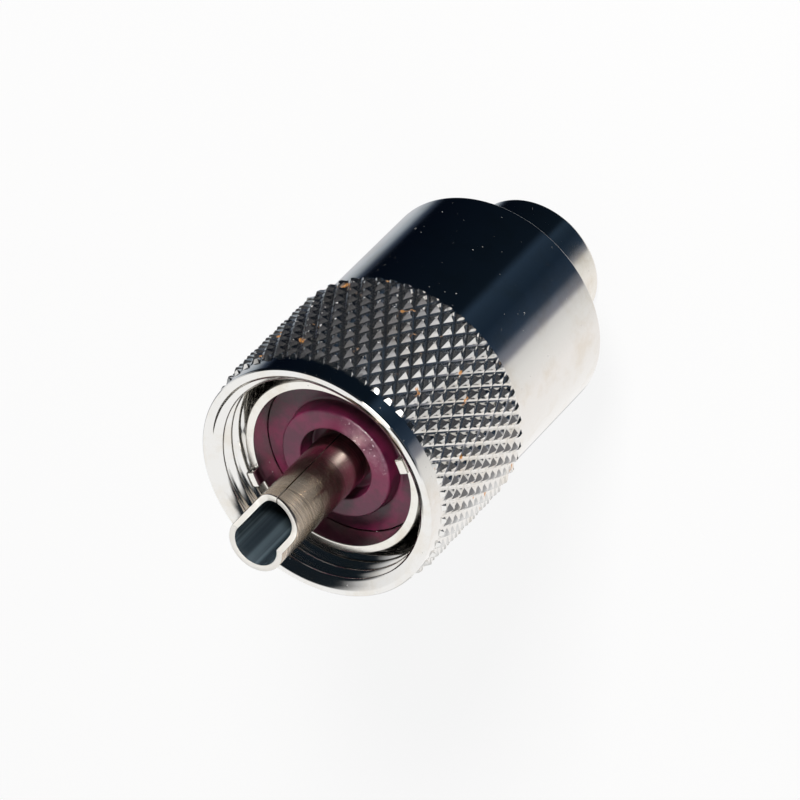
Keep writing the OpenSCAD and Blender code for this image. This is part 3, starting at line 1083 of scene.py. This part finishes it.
class PLUG_OT_studio(bpy.types.Operator):
    """Sets the pale floor, the world, the reflected room, the soft lights and the camera"""

    bl_idname = "plug.studio"
    bl_label = "Studio"

    def execute(self, context):
        scene = context.scene
        self.floor(tuple(scene.plug_finishes.floor))
        self.world(scene)
        self.room()
        self.lights()
        self.camera(scene)
        scene.view_settings.view_transform = "Standard"
        return {"FINISHED"}

    @staticmethod
    def floor(tint):
        """A pale floor that keeps the plug's shadow and otherwise melts into the white backdrop."""
        half, whiteness = 3.0, 0.9
        corners = [(-half, -half, 0), (half, -half, 0), (half, half, 0), (-half, half, 0)]
        floor = new_piece("studio_floor", corners, [(0, 1, 2, 3)])
        floor.location.z = -0.02 * MM
        material = bpy.data.materials.new("floor")
        wiring = empty_wiring(material)
        paper = wiring.fed("ShaderNodeBsdfDiffuse", ((*tint, 1),))
        glow = wiring.fed("ShaderNodeEmission", ((1, 1, 1, 1), 1.0))
        surface = blended(wiring, wiring.times(sees_backdrop(wiring), whiteness), paper, glow)
        wiring.fed("ShaderNodeOutputMaterial", (surface.outputs[0],))
        floor.data.materials.append(material)
        floor.visible_glossy = False

    @staticmethod
    def world(scene):
        """White to the camera, and a weak cool fill as light."""
        scene.world = bpy.data.worlds.new("studio")
        wiring = empty_wiring(scene.world)
        fill = wiring.fed("ShaderNodeBackground", ((0.95, 0.97, 1, 1), 0.12))
        backdrop = wiring.fed("ShaderNodeBackground", ((1, 1, 1, 1), 1.0))
        surface = blended(wiring, sees_backdrop(wiring), fill, backdrop)
        wiring.fed("ShaderNodeOutputWorld", (surface.outputs[0],))

    @staticmethod
    def room():
        """What polished faces reflect: the room below the horizon, its walls above, and a lamp before it."""
        lamp = dome(left=20, right=50, low=38, high=48, radius=0.96 * ROOM_RADIUS)
        reflector("room_below", *dome(-180, 180, -90, 0, ROOM_RADIUS), room_shade)
        reflector("room_above", *dome(-180, 180, 0, 90, ROOM_RADIUS), upper_shade)
        reflector("room_lamp", *lamp, LAMP_FACE)

    @staticmethod
    def lights():
        """Key and fill light the whole plug; shine only lends the insulator and the pin a bright spot."""
        warm, cool, rosy = (1.0, 0.98, 0.95), (0.94, 0.97, 1.0), (1.0, 0.97, 0.95)
        soft_light("key", azimuth=52, elevation=33, distance=0.5, size=0.12, power=3.3, tint=warm)
        soft_light("fill", azimuth=-60, elevation=60, distance=0.6, size=0.4, power=0.3, tint=cool)
        shine = soft_light("shine", azimuth=33, elevation=44, distance=0.5, size=0.05, power=2.9, tint=rosy)
        shine.visible_glossy = True
        shine.visible_diffuse = False
        lit = bpy.data.collections.new("shine on")
        for name in ("insulator_moulded", "centre_pin_hollow"):
            lit.objects.link(bpy.data.objects[name])
        shine.light_linking.receiver_collection = lit

    @staticmethod
    def camera(scene):
        """The camera that was fitted to the photo, turned about its view by its roll."""
        studio = scene.plug_studio
        roll = studio.roll
        back = Vector(outwards(studio.azimuth, studio.elevation))
        level = (-back).cross(Vector((0, 0, 1))).normalized()
        upright = level.cross(-back)
        up = upright * math.cos(roll) + level * math.sin(roll)
        right = up.cross(back)
        data = bpy.data.cameras.new("camera")
        data.lens = studio.focal_length
        data.sensor_width = 36
        data.clip_start, data.clip_end = 0.01, 10
        camera = bpy.data.objects.new("camera", data)
        turned_to = Matrix((right, up, back)).transposed().to_4x4()
        aim = Vector((AIM_X, AIM_Y, studio.aim_height))
        camera.matrix_world = Matrix.Translation(aim + back * studio.distance) @ turned_to
        scene.collection.objects.link(camera)
        scene.camera = camera


class PLUG_PT_panel(bpy.types.Panel):
    """The buttons that build the plug, with the sizes that each uses, and the finishes"""

    bl_label = "Plug"
    bl_idname = "PLUG_PT_panel"
    bl_space_type = "VIEW_3D"
    bl_region_type = "UI"
    bl_category = "Plug"

    def draw(self, context):
        for operator, group in OPERATORS:
            box = self.layout.box()
            box.operator(operator)
            self.list_settings(box, getattr(context.scene, group))
        self.list_settings(self.layout.box(), context.scene.plug_finishes)

    @staticmethod
    def list_settings(box, settings):
        for name in settings.bl_rna.properties.keys():
            if name not in ("rna_type", "name"):
                box.prop(settings, name)


GROUPS = {
    "plug_ring": RingSizes,
    "plug_body": BodySizes,
    "plug_insulator": InsulatorSizes,
    "plug_pin": PinSizes,
    "plug_finishes": Finishes,
    "plug_studio": Studio,
}
OPERATORS = (
    ("plug.ring", "plug_ring"),
    ("plug.body", "plug_body"),
    ("plug.insulator", "plug_insulator"),
    ("plug.pin", "plug_pin"),
    ("plug.studio", "plug_studio"),
)
CLASSES = (
    *GROUPS.values(),
    PLUG_OT_ring, PLUG_OT_body, PLUG_OT_insulator, PLUG_OT_pin, PLUG_OT_studio,
    PLUG_PT_panel,
)


def register():
    for kind in CLASSES:
        bpy.utils.register_class(kind)
    for name, group in GROUPS.items():
        setattr(bpy.types.Scene, name, PointerProperty(type=group))


def unregister():
    for name in GROUPS:
        delattr(bpy.types.Scene, name)
    for kind in reversed(CLASSES):
        bpy.utils.unregister_class(kind)


def main():
    register()
    bpy.ops.plug.ring()
    bpy.ops.plug.body()
    bpy.ops.plug.insulator()
    bpy.ops.plug.pin()
    bpy.ops.plug.studio()


if __name__ == "__main__":
    main()
